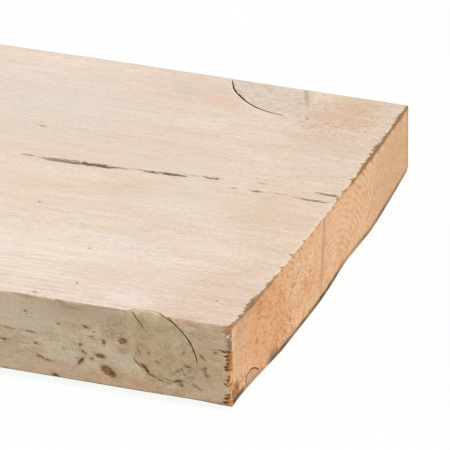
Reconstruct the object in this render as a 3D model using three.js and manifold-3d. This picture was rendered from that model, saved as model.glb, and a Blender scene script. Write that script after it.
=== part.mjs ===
// One sawn softwood board lying flat: millimetres, +X to the splintered end, +Y across, +Z up.
import * as THREE from 'three';
import { mergeVertices } from 'three/addons/utils/BufferGeometryUtils.js';
import Module from 'manifold-3d';

// the stock
const LENGTH = 1500;
const WIDTH = 195;
const THICKNESS = 32;

// the cup across the width: hollow top, belly under it with a worn flat to lie on
const CUP_HOLLOW = 2.8;
const BELLY_DROP = 3.2;
const BELLY_FROM_NEAR = 58;
const BELLY_WIDTH = 28;
const BELLY_EASE = 24;
const BELLY_NEAR_SWELL = 6;
const BELLY_FAR_SWELL = 26;

// arrises, the hip beside the belly and the wane along the far lower edge
const TOP_ARRIS = 0.8;
const LOW_ARRIS = 1.2;
const HIP_WIDTH = 23;
const HIP_DIP = 0.4;
const HIP_EASE = 8;
const WANE_WIDTH = 44;
const WANE_RISE = 5.1;
const WANE_ARRIS = 2.2;
const WANE_WAVE = 1.6;
const WANE_WAVE_LENGTH = 430;

// heart slits in the top face: behind the splintered end, in from the near edge
const SLIT_DEPTH = 1.4;
const SLITS = [
  { name: 'long', behind: 101, inward: 113.8, length: 34, width: 2.6 },
  { name: 'middle', behind: 68.5, inward: 115.3, length: 14, width: 1.5 },
  { name: 'short', behind: 49.5, inward: 117.7, length: 6, width: 1.4 },
  { name: 'speck', behind: 31, inward: 112.8, length: 5, width: 1.0 },
  { name: 'hair', behind: 9.5, inward: 112.6, length: 14, width: 0.8 },
  { name: 'mouth', behind: 1, inward: 119, length: 17, width: 1.7 },
];

// edge knot: a leaning oval in the top face, open to the far edge
const EDGE_KNOT_BEHIND = 49.6;
const EDGE_KNOT_FROM_FAR = 2.2;
const EDGE_KNOT = { halfLength: 22.8, halfHeight: 16.1, lean: -39 };
const EDGE_KNOT_CRACK = { from: 216, to: 332, width: 0.75, depth: 3.5 };

// side knot: a leaning oval in the near edge, its top just past the arris
const SIDE_KNOT_BEHIND = 27.7;
const SIDE_KNOT_ABOVE_LOW_ARRIS = 19.3;
const SIDE_KNOT = { halfLength: 17.2, halfHeight: 11.4, lean: -44 };
const SIDE_KNOT_NARROWING = 0.035;
const SIDE_KNOT_CRACKS = [
  { from: 16, to: 140, width: 0.8, depth: 3.2 },
  { from: -104, to: -34, width: 0.65, depth: 2.4 },
];
const SIDE_SPLIT = { behind: 35.5, up: 28.2, length: 9, lean: -52, width: 0.45, depth: 1.5 };

// small knot in the splintered end
const END_KNOT_INWARD = 23.3;
const END_KNOT = { halfLength: 8.9, halfHeight: 4.4, lean: -27 };
const END_KNOT_CRACK = { from: 58, to: 200, width: 0.55, depth: 1 };

// gouges in the near edge: behind the splintered end, up from the low arris
const GOUGES = [
  { name: 'deep', behind: 47, up: 5.7, length: 6.4, height: 4.2, depth: 1.6, lean: -28 },
  { name: 'round', behind: 50.3, up: 11.3, length: 3.6, height: 2.2, depth: 1.0, lean: -8 },
  { name: 'slant', behind: 57.7, up: 8.2, length: 4.4, height: 1.5, depth: 0.9, lean: 52 },
  { name: 'peck', behind: 57.8, up: 14.7, length: 2.4, height: 1.1, depth: 0.7, lean: 84 },
  { name: 'bite', behind: 41.6, up: 18.7, length: 3.4, height: 2.8, depth: 1.0, lean: 20 },
  { name: 'tear', behind: 33, up: 9.4, length: 4.6, height: 1.6, depth: 1.2, lean: -46 },
  { name: 'pock', behind: 87, up: 12, length: 2.4, height: 1.4, depth: 0.7, lean: 0 },
  { name: 'pick', behind: 20.5, up: 6, length: 4.4, height: 1.8, depth: 0.8, lean: 24 },
  { name: 'nick', behind: 67.7, up: 0.6, length: 3, height: 2, depth: 1.2, lean: 0 },
];

// long worn place on the near top arris
const WEAR = { behind: 24, length: 46, bite: 1.1, roundness: 14 };

// fibre torn out by the saw round the splintered end: pitch along the arris, how deep and how far back
// the largest goes, and the least as a share of it
const SIDE_TEAR = { pitch: 1.6, bite: 1.6, reach: 4.2, least: 0.3 };
const TOP_TEAR = { pitch: 3.6, bite: 1.2, reach: 3, least: 0.15 };
const TEAR_LAP = 1.6;
const CHIP = { inward: 124, width: 26, bite: 1.0, reach: 5 };

// how finely curves are cut, and how far a cutter stands proud of the face it enters
const SECTION_STEPS = 8;
const LENGTH_STEPS = 18;
const CRACK_STEPS = 16;
const PROUD = 0.6;
const GOLDEN = (Math.sqrt(5) - 1) / 2;

const END_X = LENGTH / 2;
const NEAR_Y = -WIDTH / 2;
const FAR_Y = WIDTH / 2;
const LOW_ARRIS_Z = BELLY_DROP;
const TOP_Z = BELLY_DROP + THICKNESS;
const BELLY_NEAR_Y = NEAR_Y + BELLY_FROM_NEAR;
const BELLY_FAR_Y = BELLY_NEAR_Y + BELLY_WIDTH;
const BELLY_MIDDLE_Y = (BELLY_NEAR_Y + BELLY_FAR_Y) / 2;
const WANE_Y = FAR_Y - WANE_WIDTH;
const HIP_Y = WANE_Y - HIP_WIDTH;

const wasm = await Module();
wasm.setup();

function solid(geometry) {
  geometry.deleteAttribute('normal');
  geometry.deleteAttribute('uv');
  const merged = mergeVertices(geometry, 1e-4);
  const vertProperties = new Float32Array(merged.attributes.position.array);
  const triVerts = new Uint32Array(merged.index.array);
  return new wasm.Manifold(new wasm.Mesh({ numProp: 3, vertProperties, triVerts }));
}

// height of the hollow top face over the floor at a distance across the board
function topZ(y) {
  const across = (2 * y) / WIDTH;
  return TOP_Z - CUP_HOLLOW * (1 - across * across);
}

// the sawn section, drawn anticlockwise from the near lower arris
function section() {
  const s = new THREE.Shape();
  const hollow = TOP_Z - 2 * CUP_HOLLOW;
  const dipZ = LOW_ARRIS_Z - HIP_DIP;
  const waneZ = LOW_ARRIS_Z + WANE_RISE;
  s.moveTo(NEAR_Y, LOW_ARRIS_Z + LOW_ARRIS);
  s.quadraticCurveTo(NEAR_Y, LOW_ARRIS_Z, NEAR_Y + LOW_ARRIS, LOW_ARRIS_Z);
  s.bezierCurveTo(NEAR_Y + BELLY_EASE, LOW_ARRIS_Z, BELLY_NEAR_Y - BELLY_EASE / 2, 0, BELLY_NEAR_Y, 0);
  s.lineTo(BELLY_FAR_Y, 0);
  s.bezierCurveTo(BELLY_FAR_Y + BELLY_EASE, 0, HIP_Y - BELLY_EASE / 2, LOW_ARRIS_Z, HIP_Y, LOW_ARRIS_Z);
  s.bezierCurveTo(HIP_Y + HIP_EASE, LOW_ARRIS_Z, WANE_Y - HIP_EASE, dipZ, WANE_Y, dipZ);
  s.bezierCurveTo(
    WANE_Y + HIP_EASE, dipZ,
    FAR_Y - WANE_WIDTH / 3, waneZ - (WANE_RISE + HIP_DIP) / 3,
    FAR_Y - WANE_ARRIS, waneZ,
  );
  s.quadraticCurveTo(FAR_Y, waneZ + HIP_DIP, FAR_Y, waneZ + HIP_DIP + WANE_ARRIS);
  s.lineTo(FAR_Y, TOP_Z - TOP_ARRIS);
  s.quadraticCurveTo(FAR_Y, TOP_Z, FAR_Y - TOP_ARRIS, TOP_Z);
  s.quadraticCurveTo(0, hollow, NEAR_Y + TOP_ARRIS, TOP_Z);
  s.quadraticCurveTo(NEAR_Y, TOP_Z, NEAR_Y, TOP_Z - TOP_ARRIS);
  return s;
}

// how far along a stretch of the width a point lies, from 0 to 1, or 1 to 0 where the stretch runs backwards
const share = (y, from, to) => THREE.MathUtils.clamp((y - from) / (to - from), 0, 1);

// the board: the wane rises and falls along the far lower edge and the worn flat widens towards mid-length,
// both true to the section at the splintered end
function board() {
  const geometry = new THREE.ExtrudeGeometry(section(), {
    depth: LENGTH, steps: LENGTH_STEPS, bevelEnabled: false, curveSegments: SECTION_STEPS,
  });
  const p = geometry.attributes.position;
  for (let i = 0; i < p.count; i += 1) {
    const x = p.getZ(i) - END_X;
    const y = p.getX(i);
    const z = p.getY(i);
    const outward = THREE.MathUtils.smoothstep(y, BELLY_FAR_Y, FAR_Y);
    const below = THREE.MathUtils.clamp((TOP_Z - TOP_ARRIS - z) / THICKNESS, 0, 1);
    const wave = (1 - Math.cos((2 * Math.PI * (END_X - x)) / WANE_WAVE_LENGTH)) / 2;
    const swell = z < THICKNESS / 2 ? 1 - (x / END_X) ** 2 : 0;
    const nearer = Math.min(share(y, NEAR_Y, BELLY_NEAR_Y), share(y, BELLY_MIDDLE_Y, BELLY_NEAR_Y));
    const farther = Math.min(share(y, FAR_Y, BELLY_FAR_Y), share(y, BELLY_MIDDLE_Y, BELLY_FAR_Y));
    const spread = swell * (BELLY_FAR_SWELL * farther - BELLY_NEAR_SWELL * nearer);
    p.setXYZ(i, x, y + spread, z + WANE_WAVE * wave * outward * below);
  }
  return solid(geometry);
}

// a crack's outline: a curve given width, pointed at both ends
function ribbon(curve, width) {
  const left = [];
  const right = [];
  for (let i = 0; i <= CRACK_STEPS; i += 1) {
    const t = i / CRACK_STEPS;
    const point = curve.getPoint(t);
    const along = curve.getTangent(t);
    const half = (width / 2) * Math.sin(Math.PI * t);
    const across = new THREE.Vector2(-along.y, along.x).multiplyScalar(half);
    left.push(point.clone().add(across));
    if (i > 0 && i < CRACK_STEPS) right.unshift(point.clone().sub(across));
  }
  return new THREE.Shape(left.concat(right));
}

// extrudes an outline from a depth up to PROUD above its face, drawn in with depth by a share of its size per mm
function cutter(shape, depth, narrowing) {
  const geometry = new THREE.ExtrudeGeometry(shape, { depth: depth + PROUD, bevelEnabled: false });
  geometry.translate(0, 0, -depth);
  const p = geometry.attributes.position;
  for (let i = 0; i < p.count; i += 1) {
    const scale = 1 + narrowing * p.getZ(i);
    p.setXYZ(i, p.getX(i) * scale, p.getY(i) * scale, p.getZ(i));
  }
  return geometry;
}

const straight = (length, lean) => {
  const turn = THREE.MathUtils.degToRad(lean);
  const half = new THREE.Vector2(Math.cos(turn), Math.sin(turn)).multiplyScalar(length / 2);
  return new THREE.LineCurve(half.clone().negate(), half);
};

const arc = ({ halfLength, halfHeight, lean }, { from, to }) => new THREE.EllipseCurve(
  0, 0, halfLength, halfHeight,
  THREE.MathUtils.degToRad(from), THREE.MathUtils.degToRad(to), false, THREE.MathUtils.degToRad(lean),
);

// outlines lie in the face they cut: the top face, the near edge or the splintered end
const onTop = (g, behind, y, z) => g.translate(END_X - behind, y, z);
const onNearEdge = (g, behind, z) => g.rotateX(Math.PI / 2).translate(END_X - behind, NEAR_Y, z);
const onEnd = (g, y, z) => g.rotateZ(Math.PI / 2).rotateY(Math.PI / 2).translate(END_X, y, z);

function slits() {
  return SLITS.map(({ behind, inward, length, width }) => {
    const y = NEAR_Y + inward;
    return onTop(cutter(ribbon(straight(length, 0), width), SLIT_DEPTH, 0), behind, y, topZ(y));
  });
}

function knotCracks() {
  const edge = EDGE_KNOT_CRACK;
  const edgeShape = ribbon(arc(EDGE_KNOT, edge), edge.width);
  const edgeY = FAR_Y - EDGE_KNOT_FROM_FAR;
  const sideZ = LOW_ARRIS_Z + SIDE_KNOT_ABOVE_LOW_ARRIS;
  const split = SIDE_SPLIT;
  const endZ = LOW_ARRIS_Z - BELLY_DROP / 5;
  const end = END_KNOT_CRACK;
  const endShape = ribbon(arc(END_KNOT, end), end.width);
  return [
    onTop(cutter(edgeShape, edge.depth, 0), EDGE_KNOT_BEHIND, edgeY, topZ(edgeY)),
    ...SIDE_KNOT_CRACKS.map((crack) => {
      const shape = ribbon(arc(SIDE_KNOT, crack), crack.width);
      return onNearEdge(cutter(shape, crack.depth, SIDE_KNOT_NARROWING), SIDE_KNOT_BEHIND, sideZ);
    }),
    onNearEdge(
      cutter(ribbon(straight(split.length, split.lean), split.width), split.depth, 0),
      split.behind, LOW_ARRIS_Z + split.up,
    ),
    onEnd(cutter(endShape, end.depth, 0), NEAR_Y + END_KNOT_INWARD, endZ),
  ];
}

function gouges() {
  return GOUGES.map(({ behind, up, length, height, depth, lean }) => {
    const scoop = new THREE.SphereGeometry(1, 9, 6);
    scoop.scale(length / 2, depth, height / 2).rotateY(-THREE.MathUtils.degToRad(lean));
    return scoop.translate(END_X - behind, NEAR_Y, LOW_ARRIS_Z + up);
  });
}

function wear() {
  const rub = new THREE.SphereGeometry(1, 16, 12);
  const lift = (WEAR.roundness - WEAR.bite) * Math.SQRT1_2;
  rub.rotateZ(Math.PI / 2).scale(WEAR.length / 2, WEAR.roundness, WEAR.roundness);
  return rub.translate(END_X - WEAR.behind, NEAR_Y - lift, TOP_Z + lift);
}

// a number from 0 to 1 that jumps about from one index to the next and never settles into a rhythm
const uneven = (index, step) => (index * step) % 1;

// tears side by side from one end of an arris to the other: each is a narrow point that runs back along the
// grain, its depth and half width set by place, which also sets it on the arris
function tearRow(run, { pitch, bite, reach, least }, place) {
  const count = Math.floor(run / pitch);
  const between = (low, share) => low + (1 - low) * share;
  return Array.from({ length: count }, (_, i) => {
    const along = (i + between(1 / 4, uneven(i, Math.SQRT2)) - 1 / 8) * (run / count);
    const depth = bite * between(least, uneven(i, GOLDEN));
    const back = reach * between(least, uneven(i, Math.E));
    const half = (pitch / 2) * TEAR_LAP * between(1 / 2, uneven(i, Math.PI));
    const point = new THREE.ConeGeometry(1, 1, 4);
    point.rotateZ(Math.PI / 2).translate(-1 / 2, 0, 0).scale(back, 1, 1).translate(PROUD / 10, 0, 0);
    return place(point, along, depth, half);
  });
}

function tears() {
  const side = tearRow(THICKNESS, SIDE_TEAR, (point, up, bite, half) => (
    point.scale(1, bite, half).translate(END_X, NEAR_Y, LOW_ARRIS_Z + up)));
  const top = tearRow(WIDTH, TOP_TEAR, (point, inward, bite, half) => (
    point.scale(1, half, bite).translate(END_X, NEAR_Y + inward, topZ(NEAR_Y + inward))));
  const chip = new THREE.SphereGeometry(1, 12, 8);
  chip.scale(CHIP.reach, CHIP.width / 2, CHIP.bite).translate(END_X, NEAR_Y + CHIP.inward, 0);
  return [...side, ...top, chip];
}

function largest(body) {
  const parts = body.decompose();
  return parts.reduce((best, part) => (part.volume() > best.volume() ? part : best));
}

function toMesh(body, name) {
  const { vertProperties, triVerts } = body.getMesh();
  const geometry = new THREE.BufferGeometry();
  geometry.setAttribute('position', new THREE.BufferAttribute(vertProperties, 3));
  geometry.setIndex(new THREE.BufferAttribute(triVerts, 1));
  geometry.computeVertexNormals();
  const wood = new THREE.MeshStandardMaterial({ color: 0xcdb89c, roughness: 0.8, metalness: 0 });
  const mesh = new THREE.Mesh(geometry, wood);
  mesh.name = name;
  return mesh;
}

const cuts = [...slits(), ...knotCracks(), ...gouges(), wear(), ...tears()].map(solid);
const plank = largest(board().subtract(wasm.Manifold.union(cuts)));

const part = new THREE.Group();
part.add(toMesh(plank, 'plank'));
export default part;
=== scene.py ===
import math
from functools import reduce

import bpy
import numpy as np
from mathutils import Euler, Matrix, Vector


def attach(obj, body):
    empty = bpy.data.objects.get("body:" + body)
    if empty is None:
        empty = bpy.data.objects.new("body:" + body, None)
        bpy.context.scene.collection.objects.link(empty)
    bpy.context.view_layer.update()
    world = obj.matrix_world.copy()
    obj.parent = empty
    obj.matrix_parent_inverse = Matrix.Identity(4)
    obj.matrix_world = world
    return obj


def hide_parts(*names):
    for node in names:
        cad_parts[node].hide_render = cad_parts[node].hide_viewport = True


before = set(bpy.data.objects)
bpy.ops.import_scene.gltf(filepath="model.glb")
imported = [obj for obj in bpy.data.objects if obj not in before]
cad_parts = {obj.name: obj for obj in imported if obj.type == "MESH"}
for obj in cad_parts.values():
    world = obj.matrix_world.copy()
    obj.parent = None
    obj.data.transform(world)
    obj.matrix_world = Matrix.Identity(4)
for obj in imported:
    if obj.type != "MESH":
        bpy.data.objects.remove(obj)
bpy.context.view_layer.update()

# the board as sawn, in millimetres, in the frame of the solids
LENGTH, WIDTH, THICKNESS = 1500.0, 195.0, 32.0
END, NEAR, FAR = LENGTH / 2, -WIDTH / 2, WIDTH / 2
HOLLOW, BELLY = 2.8, 3.2
LOW, TOP = BELLY, BELLY + THICKNESS
BELLY_NEAR, BELLY_FAR, BELLY_EASE = NEAR + 58, NEAR + 86, 24
NEAR_SWELL, FAR_SWELL = 6, 26
HIP_WIDTH, HIP_DIP, HIP_EASE = 23, 0.4, 8
WANE_WIDTH, WANE_RISE, WANE_ARRIS, WANE_WAVE, WANE_WAVE_LENGTH = 44, 5.1, 2.2, 1.6, 430
TOP_ARRIS, LOW_ARRIS = 0.8, 1.2
GOLDEN = (math.sqrt(5) - 1) / 2

# places on the board: "behind" the splintered end, "inward" from the near edge, "up" from the low arris
# knots: the face they show in, centre, half length, half width, lean of the long way in degrees
EDGE_KNOT = ("top", 49.6, 192.8, 22.8, 16.1, -39)
SIDE_KNOT = ("near", 27.7, 19.2, 17.1, 11.5, -42.5)
# where the side knot comes out over the arris
WANE_KNOT = ("top", 33.8, -0.8, 8.2, 2.85, 7)
END_KNOT = ("end", 23.3, -0.6, 8.9, 4.4, -27)
# open cracks round the knots: the knot, from and to in degrees round it, width, depth
KNOT_CRACKS = [
    (EDGE_KNOT, 211, 312, 0.62, 3.5),
    (SIDE_KNOT, 33, 121, 0.45, 2.0),
    (SIDE_KNOT, -100, -44, 0.2, 0.5),
    (END_KNOT, 62, 196, 0.5, 0.35),
]
# straight splits in the near edge: behind and up of one end and of the other, width, depth
SPLITS = [
    ((38.2, 31.8), (33.2, 25.7), 0.2, 0.7),
    ((5.0, 21.6), (0.6, 21.2), 0.2, 0.6),
]
# gouges in the near edge: behind, up, length, height, depth, lean
GOUGES = [
    (47.2, 5.6, 6.4, 3.8, 1.1, -30),
    (50.3, 11.3, 3.6, 2.2, 1.0, -8),
    (57.7, 8.2, 4.4, 1.5, 0.9, 52),
    (57.8, 14.7, 2.4, 1.1, 0.7, 84),
    (41.6, 18.7, 3.4, 2.8, 1.0, 20),
    (33, 9.4, 4.6, 1.6, 1.2, -46),
    (87, 12, 2.4, 1.4, 0.7, 0),
    (20.5, 6, 4.4, 1.8, 0.8, 24),
    (67.7, 0.6, 3, 2, 1.2, 0),
    (9.9, 13.2, 1.6, 1.6, 0.4, 0),
    (9.6, 10.6, 1.6, 1.4, 0.4, 0),
    (16.6, 12.6, 2.8, 1.2, 0.6, -10),
    (55.5, 22.1, 2.2, 1.4, 0.6, -20),
    (48.7, 17.3, 1.6, 2.2, 0.6, 0),
]
# heart slits in the top face: behind, inward, length, width
SLITS = [
    (107.2, 113.3, 18.0, 2.6),
    (94.6, 113.8, 16.4, 2.5),
    (73.0, 115.4, 7.0, 1.5),
    (65.5, 115.7, 11.4, 1.6),
    (50.0, 117.8, 6.2, 1.5),
    (31, 112.9, 4.4, 1.2),
    (8.4, 112.5, 11, 0.9),
    (3.6, 118.6, 9.5, 1.6),
]
# loose fibres at the near arris: root, two bends and tip, each as behind, inward and up, then thickness
SLIVERS = [
    ((0.8, 0.9, 12.9), (-0.2, -0.2, 11.8), (-0.2, -0.6, 9.6), (2.0, -0.5, 8.0), 1.05),
    ((0.9, 0.8, 9.3), (0.4, -0.4, 9.0), (1.2, -0.6, 8.6), (2.6, -0.3, 8.9), 0.55),
    ((0.6, 0.9, 5.9), (0.0, -0.1, 5.0), (0.1, -0.3, 3.4), (0.6, -0.2, 2.0), 0.7),
    ((0.5, 1.0, 18.8), (0.2, 0.0, 18.6), (0.6, -0.5, 17.8), (0.9, -0.3, 16.9), 0.8),
    ((0.7, 1.0, 16.6), (0.3, 0.2, 16.8), (0.7, -0.2, 16.2), (1.9, -0.2, 15.9), 0.5),
    ((0.6, 1.1, 20.8), (0.3, 0.1, 20.4), (0.9, -0.3, 20.5), (2.2, -0.1, 20.3), 0.55),
    ((0.7, 0.9, 12.2), (0.2, 0.2, 12.4), (0.8, -0.3, 12.3), (2.3, -0.2, 11.6), 0.5),
    ((0.8, 0.9, 1.6), (0.2, 0.0, 1.8), (0.9, -0.4, 2.0), (2.4, -0.3, 1.8), 0.6),
    ((0.9, 0.8, 28.0), (1.2, -0.1, 27.9), (1.6, -0.4, 27.4), (2.2, 0.1, 26.8), 1.6),
    ((0.9, 0.9, 29.6), (0.5, -0.2, 29.4), (1.2, -0.5, 29.7), (2.9, -0.2, 30.1), 0.7),
    ((0.6, 0.9, 25.9), (0.2, 0.0, 26.0), (0.4, -0.3, 25.1), (0.5, -0.1, 24.0), 0.6),
    ((0.8, 1.0, 31.0), (0.4, 0.2, 31.4), (1.4, -0.3, 31.6), (3.2, 0.0, 31.3), 0.7),
]
# teeth of torn fibre down the near arris: up, half height, depth, reach behind the end
NEAR_TEETH = [
    (21.2, 0.8, 1.2, 4.5), (19.4, 0.9, 1.4, 3.7), (18.1, 0.7, 1.3, 3.2), (15.4, 1.5, 1.5, 4.0),
    (13.7, 0.9, 1.7, 3.9), (9.9, 1.1, 1.5, 3.2), (8.4, 0.8, 1.5, 3.4), (7.5, 0.7, 1.2, 2.4),
    (4.2, 0.9, 1.2, 3.5), (2.9, 0.8, 1.5, 4.8), (1.3, 1.1, 1.3, 4.8), (19.4, 2.8, 1.1, 2.5),
    (16.8, 2.8, 1.1, 2.7), (14.2, 2.6, 1.1, 2.6), (11.4, 2.6, 0.9, 2.1), (8.8, 2.4, 0.9, 2.3),
    (6.2, 2.2, 0.7, 1.3), (3.8, 2.0, 0.9, 2.2), (0.9, 2.4, 1.0, 2.8), (31.2, 2.2, 0.5, 3.4),
    (29.3, 2.0, 0.5, 3.8), (27.4, 1.8, 0.6, 3.2), (25.4, 1.2, 0.4, 1.3),
]
# teeth along the top arris of the end: the pitch, and the largest one's lap over its neighbours, depth and reach
TOOTH_PITCH, TOOTH_LAP, TOOTH_BITE, TOOTH_REACH = 3.6, 1.6, 1.2, 3

# the camera: its place in metres, its turn in degrees, and its lens in millimetres
CAMERA_PLACE, CAMERA_TURN, CAMERA_LENS = (2.00694, -3.56150, 1.87458), (63.97667, 0.16272, 19.89516), 921.157
# the soft lamp: its strength, its width in degrees and the way to it; then the strength of the even sky
LAMP_STRENGTH, LAMP_WIDTH, LAMP_FROM, SKY_STRENGTH = 1.86, 32, (0.50, -0.33, 0.80), 0.5
# the floor: its half side in metres, how light it is to the wood, and the share of its white that takes no shadow
FLOOR_REACH, FLOOR_LIGHT, FLOOR_GLOW = 100.0, 0.74, 0.9
WHITE = (1, 1, 1, 1)


# ---------------------------------------------------------------- camera, light and floor

def add(name, data):
    """Puts a new object into the scene."""
    made = bpy.data.objects.new(name, data)
    bpy.context.scene.collection.objects.link(made)
    return made


def new_tree(owner):
    """Empties a material's or world's node tree and returns it."""
    owner.use_nodes = True
    owner.node_tree.nodes.clear()
    return owner.node_tree


def put(tree, value, socket):
    """Gives a socket a link from a term, a node or an output, or a plain number or colour."""
    if isinstance(value, bpy.types.Node):
        value = value.outputs[0]
    value = getattr(value, "socket", value)
    if isinstance(value, bpy.types.NodeSocket):
        tree.links.new(value, socket)
    else:
        socket.default_value = value


def fed(tree, kind, *values, **settings):
    """A node of a kind with its settings, and values or links put into its first sockets."""
    made = tree.nodes.new("ShaderNode" + kind)
    for key, value in settings.items():
        setattr(made, key, value)
    for value, socket in zip(values, made.inputs):
        put(tree, value, socket)
    return made


def white_to_camera(tree, lit, seen):
    """One shader for camera, mirror and glass rays, and another for every other ray."""
    path = fed(tree, "LightPath").outputs
    direct = fed(tree, "Math", path["Is Camera Ray"], path["Is Glossy Ray"], operation="MAXIMUM")
    direct = fed(tree, "Math", direct, path["Is Transmission Ray"], operation="MAXIMUM")
    return fed(tree, "MixShader", direct, lit, seen)


def studio():
    """A long lens above the splintered end, one wide soft lamp high on its side, an even sky and a white floor."""
    scene = bpy.context.scene
    lens = bpy.data.cameras.new("camera")
    lens.sensor_width, lens.lens, lens.clip_start, lens.clip_end = 36, CAMERA_LENS, 0.1, 300
    camera = add("camera", lens)
    camera.location = CAMERA_PLACE
    camera.rotation_euler = Euler([math.radians(a) for a in CAMERA_TURN])
    scene.camera = camera
    scene.view_settings.view_transform = "Standard"

    lamp = bpy.data.lights.new("soft_lamp", "SUN")
    lamp.energy, lamp.angle = LAMP_STRENGTH, math.radians(LAMP_WIDTH)
    add("soft_lamp", lamp).rotation_euler = Vector(LAMP_FROM).to_track_quat("Z", "Y").to_euler()

    sky = bpy.data.worlds.new("sky")
    tree = new_tree(sky)
    glow = fed(tree, "Background", WHITE, SKY_STRENGTH)
    fed(tree, "OutputWorld", white_to_camera(tree, glow, fed(tree, "Emission", WHITE)))
    scene.world = sky

    r = FLOOR_REACH
    mesh = bpy.data.meshes.new("floor")
    mesh.from_pydata([(-r, -r, 0), (r, -r, 0), (r, r, 0), (-r, r, 0)], [], [(0, 1, 2, 3)])
    white = bpy.data.materials.new("floor_white")
    tree = new_tree(white)
    shaded = fed(tree, "MixShader", FLOOR_GLOW, fed(tree, "BsdfDiffuse", WHITE), fed(tree, "Emission", WHITE))
    lit = fed(tree, "BsdfDiffuse", (FLOOR_LIGHT, FLOOR_LIGHT, FLOOR_LIGHT, 1))
    fed(tree, "OutputMaterial", white_to_camera(tree, lit, shaded))
    mesh.materials.append(white)
    add("floor", mesh)


studio()


# ---------------------------------------------------------------- shape of the board

def share(v, start, stop):
    """How far v lies from start to stop, held between 0 and 1."""
    return np.clip((v - start) / (stop - start), 0, 1)


def smooth(v, start, stop):
    """Smoothstep: the share s of the way from start to stop, as s*s*(3 - 2s)."""
    s = share(v, start, stop)
    return s * s * (3 - 2 * s)


def hashed(i, j, k, seed):
    """A fixed number from 0 to 1 for each whole-number lattice point, mixed from its three places and a seed."""
    h = (i * 374761393 + j * 668265263 + k * 1274126177 + seed * 974634777) & 0xFFFFFFFF
    h = ((h ^ (h >> 13)) * 1274126177) & 0xFFFFFFFF
    return ((h ^ (h >> 16)) & 0xFFFF) / 65535.0


def wander(x, y, z, seed):
    """Smooth noise from -1 to 1: the numbers of the eight lattice points round a place, blended by smoothstep."""
    x, y, z = np.broadcast_arrays(x, y, z)
    cell = [np.floor(v).astype(np.int64) for v in (x, y, z)]
    part = [smooth(v - c, 0, 1) for v, c in zip((x, y, z), cell)]
    total = 0
    for corner in np.ndindex(2, 2, 2):
        weight = np.prod([p if c else 1 - p for p, c in zip(part, corner)], axis=0)
        total = total + weight * hashed(cell[0] + corner[0], cell[1] + corner[1], cell[2] + corner[2], seed)
    return 2 * total - 1


def bezier(p0, p1, p2, p3, steps=24):
    """Points on a cubic Bezier: the four points weighted by (1-t)^3, 3t(1-t)^2, 3t^2(1-t) and t^3."""
    t = np.linspace(0, 1, steps)[:, None]
    weights = (1 - t) ** 3, 3 * t * (1 - t) ** 2, 3 * t**2 * (1 - t), t**3
    return sum(w * np.array(p) for w, p in zip(weights, (p0, p1, p2, p3)))


SLIT_DEPTH, SHARP_ARRIS, TOP_SLIVERS = 1.3, 0.25, 46
# the near top arris: how much rounder it is worn by the side knot, where, over what length, and its wander
WORN, WORN_AT, WORN_LENGTH, ARRIS_WANDER, ARRIS_WAVE = 2.0, 24, 15, 0.55, 19
# the end: how far off square the saw ran, the droop of its near lower corner, and how far both run back
OFF_SQUARE, OFF_LENGTH, DROOP, DROOP_LENGTH, DROOP_WIDTH = 0.6, 25, 0.5, 16, 9
# the unevenness of the faces: the height, length and width of its waves, and its seed
UNEVEN = [(0.09, 26, 7, 31), (0.05, 7, 2.4, 32)]
# how far a mark on the rounded top arris goes back and down for each millimetre that it slides in
SLIDE_BACK, SLIDE_DOWN = 0.35, 0.53
# a crack's blade: how far it stands out of the face, its widths there and at its waist, and the waist's depth
BLADE_PROUD, BLADE_TOP, BLADE_WAIST, WAIST_DEPTH = 0.8, 1.15, 0.9, 0.3
# loose fibres: their thickness over their width, and where along the top arris every second one is left out
FLATNESS, SPARSE_FROM, SPARSE_TO = 0.55, 82, 116
# the faces in their order round the section, and how deep inside a torn tooth a place on no tooth counts
UNDER_FACE, FAR_FACE, TOP_FACE, NEAR_FACE = range(4)
OUTSIDE = -9.0
# the bake's map: each face's strip as its lowest and highest v, each end's patch as its corner, width and height
STRIPS = np.array([(0.61, 0.78), (0.79, 0.85), (0.005, 0.405), (0.42, 0.60)])
END_PATCHES = [(0.005, 0.87, 0.63, 0.12), (0.66, 0.87, 0.33, 0.06)]
WANE, WANE_Z, DIP_Z = FAR - WANE_WIDTH, LOW + WANE_RISE, LOW - HIP_DIP
HIP = WANE - HIP_WIDTH
UNDER = np.vstack([
    [(NEAR, LOW), (NEAR + LOW_ARRIS, LOW)],
    bezier((NEAR + LOW_ARRIS, LOW), (NEAR + BELLY_EASE, LOW),
           (BELLY_NEAR - BELLY_EASE / 2, 0), (BELLY_NEAR, 0))[1:],
    bezier((BELLY_FAR, 0), (BELLY_FAR + BELLY_EASE, 0), (HIP - BELLY_EASE / 2, LOW), (HIP, LOW)),
    bezier((HIP, LOW), (HIP + HIP_EASE, LOW), (WANE - HIP_EASE, DIP_Z), (WANE, DIP_Z))[1:],
    bezier((WANE, DIP_Z), (WANE + HIP_EASE, DIP_Z),
           (FAR - WANE_WIDTH / 3, WANE_Z - (WANE_RISE + HIP_DIP) / 3), (FAR - WANE_ARRIS, WANE_Z))[1:],
    [(FAR, WANE_Z + HIP_DIP)],
])


def top_height(y):
    """The hollow top: the height of the arrises less a parabola that is HOLLOW deep at mid-width."""
    return TOP - HOLLOW * (1 - (2 * y / WIDTH) ** 2)


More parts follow.
